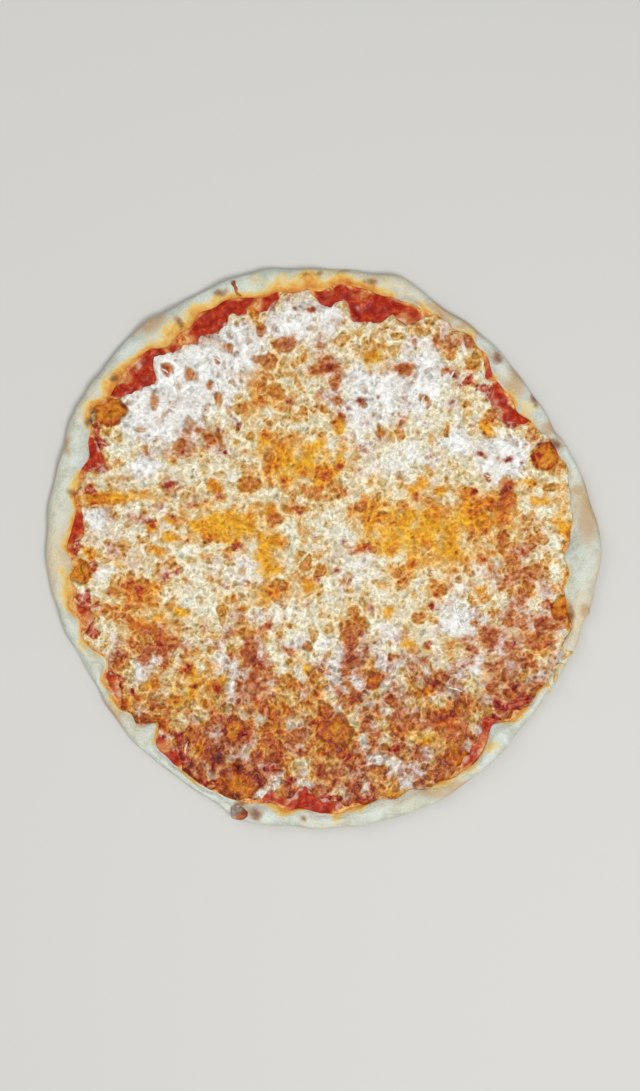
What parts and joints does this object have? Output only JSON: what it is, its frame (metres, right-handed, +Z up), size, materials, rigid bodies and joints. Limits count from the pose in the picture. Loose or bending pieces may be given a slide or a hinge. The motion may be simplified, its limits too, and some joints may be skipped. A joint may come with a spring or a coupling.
{
  "type": "round cheese pizza",
  "caption": "Whole round thin-crust cheese pizza with an uneven pale rim, a band of red sauce at its edge and a sheet of melted cheese.",
  "frame": {"origin": "on the flat underside, in the middle of the outline's box", "axes": "+Z up out of the toppings, +X to the right of the picture, +Y to the top of the picture"},
  "size_m": [0.3888, 0.3926, 0.0142],
  "materials": {
    "crust": null,
    "sauce": null,
    "cheese": null
  },
  "bodies": {
    "root": {"crust": "crust", "sauce": "sauce", "cheese": "cheese"}
  },
  "joints": []
}
